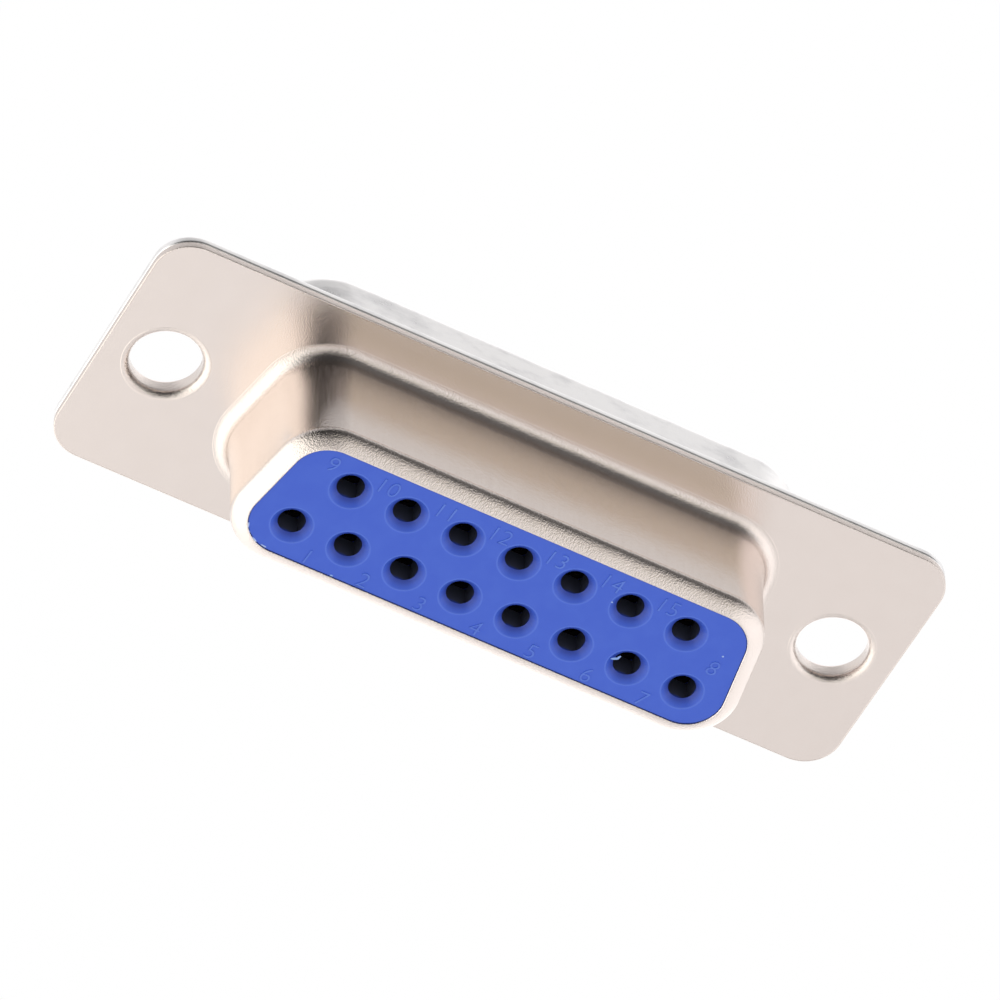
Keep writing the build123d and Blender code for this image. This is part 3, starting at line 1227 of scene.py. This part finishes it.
@dataclass(frozen=True)
class Studio:
    """White surroundings, floor, soft panels seen in the metal, and the camera of the photograph."""

    azimuth_deg: float = -20.247
    elevation_deg: float = 31.467
    roll_deg: float = 34.08        # the camera's right-hand side is turned up by this
    distance: float = 581.15
    lens: float = 476.45
    sensor: float = 36.0
    aim: Triple = (-0.208, 0.216, 0.213)
    floor_z: float = -90.0
    floor_half: float = 900.0
    floor_points: int = 9          # along each side of its grid
    floor_white: float = 0.86
    floor_glow: float = 0.85       # share of the floor's look that is plain white light
    surround: Triple = (1.0, 1.0, 1.0)
    panels: tuple[Panel, ...] = (
        # bright to the left, to the right and below on the right
        Panel(-50, -25, 25, 62, 1.9, (1.0, 1.0, 0.95)),
        Panel(62, 15, 25, 45, 1.45),
        Panel(110, -60, 20, 60, 1.5),
        # a little darker below and in front
        Panel(42, -52, 14, 28, 0.74),
        # behind the connector, seen in the top of the cup
        Panel(165, 5, 12, 30, 1.3),
        Panel(160, 37, 9, 24, 0.84),
        # where the flange mirrors the camera
        Panel(19, -31, 8, 24, 1.085),
        # darker, seen in the corners and the bends
        Panel(-140, 50, 25, 45, 0.55),
        Panel(75, 76, 30, 50, 0.17),
        Panel(-55, 52, 33, 46, 0.05),
        Panel(-2, 0, 8, 18, 0.6),
        Panel(-15, 18, 10, 22, 0.12),
        Panel(-2, 38, 6, 16, 0.35),
        # where the top of the nose mirrors the camera by way of the flange
        Panel(20, 31, 5, 12, 0.86, (1.02, 0.99, 0.78)),
    )

    def camera(self) -> None:
        """Place the camera on its sphere about the aim point and roll it."""
        azimuth, elevation, roll = map(math.radians, (self.azimuth_deg, self.elevation_deg, self.roll_deg))
        back = Vector((
            math.sin(azimuth) * math.cos(elevation),
            -math.cos(azimuth) * math.cos(elevation),
            math.sin(elevation),
        ))
        level = Vector((0, 0, 1)).cross(back).normalized()
        up = back.cross(level)
        right = level * math.cos(roll) + up * math.sin(roll)
        top = back.cross(right)
        data = bpy.data.cameras.new("camera")
        data.sensor_width, data.lens = self.sensor, self.lens
        data.clip_start, data.clip_end = 0.01, 10.0
        camera = bpy.data.objects.new("camera", data)
        place = (Vector(self.aim) + back * self.distance) * MM
        camera.matrix_world = Matrix.Translation(place) @ Matrix((right, top, back)).transposed().to_4x4()
        bpy.context.scene.collection.objects.link(camera)
        bpy.context.scene.camera = camera

    def seen_in_gloss(self, tree: NodeTree, direction: Socket) -> Socket:
        """Lay all the panels over each other.

        Args:
            tree: tree of the world or of the floor's material.
            direction: unit direction in which the surroundings are seen.

        Returns:
            The colour seen there.
        """
        colour: Triple | Socket = self.surround
        for panel in self.panels:
            colour = panel.lay_over(tree, direction, colour)
        return colour

    def world(self) -> None:
        """Even white light, the panels for glossy rays only, and plain white behind the object."""
        world = bpy.data.worlds.new("studio")
        world.use_nodes = True
        bpy.context.scene.world = world
        tree = NodeTree(world.node_tree)
        world.node_tree.nodes.clear()
        place = tree.add("ShaderNodeTexCoord")
        path = tree.add("ShaderNodeLightPath")
        panels = self.seen_in_gloss(tree, place.outputs["Generated"])
        light = tree.add("ShaderNodeBackground")
        tree.join(tree.mix(path.outputs["Is Glossy Ray"], self.surround, panels), light.inputs["Color"])
        output = tree.add("ShaderNodeOutputWorld")
        tree.join(light.outputs[0], output.inputs["Surface"])

    def floor(self) -> None:
        """Pale floor, worked out as a flat square grid; in gloss it shows the panels that lie below it."""
        side = np.linspace(-self.floor_half, self.floor_half, self.floor_points)
        x, y = np.meshgrid(side, side, indexing="ij")
        points = np.stack([x, y, np.full_like(x, self.floor_z)], axis=-1).reshape(-1, 3) * MM
        index = np.arange(x.size).reshape(x.shape)
        quads = np.stack([index[:-1, :-1], index[1:, :-1], index[1:, 1:], index[:-1, 1:]], axis=-1)
        mesh = bpy.data.meshes.new("floor")
        mesh.from_pydata(points.tolist(), [], quads.reshape(-1, 4).tolist())
        floor = show(mesh)
        material = bpy.data.materials.new("white_floor")
        material.use_nodes = True
        tree = NodeTree(material.node_tree)
        material.node_tree.nodes.clear()
        direction = tree.add("ShaderNodeVectorMath", operation="NORMALIZE")
        tree.join(tree.place(), direction.inputs[0])
        path = tree.add("ShaderNodeLightPath")
        glossy = path.outputs["Is Glossy Ray"]
        white = (1 - self.floor_white * (1 - self.floor_glow)) / self.floor_glow
        panels = self.seen_in_gloss(tree, direction.outputs["Vector"])
        matte = tree.add("ShaderNodeBsdfDiffuse")
        matte.inputs["Color"].default_value = (self.floor_white,) * 3 + (1.0,)
        bright = tree.add("ShaderNodeEmission")
        tree.join(tree.mix(glossy, (white,) * 3, panels), bright.inputs["Color"])
        glow = tree.maths("MULTIPLY", path.outputs["Is Camera Ray"], self.floor_glow)
        blend = tree.add("ShaderNodeMixShader")
        tree.join(tree.maths("MAXIMUM", glow, glossy), blend.inputs[0])
        tree.join(matte.outputs[0], blend.inputs[1])
        tree.join(bright.outputs[0], blend.inputs[2])
        output = tree.add("ShaderNodeOutputMaterial")
        tree.join(blend.outputs[0], output.inputs["Surface"])
        dress(floor, material)

    def build(self) -> None:
        """Set up the whole studio."""
        bpy.context.scene.view_settings.view_transform = "Standard"
        self.camera()
        self.world()
        self.floor()


def dress_packed_nodes(finishes: Finishes) -> None:
    """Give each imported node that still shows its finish.

    Args:
        finishes: the finishes.
    """
    for name, node in frame["nodes"].items():
        if name.startswith("contact_"):
            dress(node, finishes.gold)
        elif name == "front_insulator":
            dress(node, finishes.blue_face)
        elif name == "rear_insulator":
            dress(node, finishes.blue)


def main() -> None:
    """Build every piece in order and log it."""
    logging.basicConfig(level=logging.INFO, format="%(name)s: %(message)s")
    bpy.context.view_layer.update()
    plan = Plan.from_frame()
    finishes = Finishes.make(plan)
    Studio().build()
    log.info("studio ready")
    pieces = (
        FrontShell(plan).build(finishes.nickel),
        RearShell(plan).build(finishes.tin),
        PositionNumbers(plan).build(finishes.blue_number),
        MouldFlash(plan).build(finishes.blue_flash),
    )
    for made in pieces:
        log.info("%s: %d faces", made.name, len(made.data.polygons))
    dress_packed_nodes(finishes)


if __name__ == "__main__":
    main()
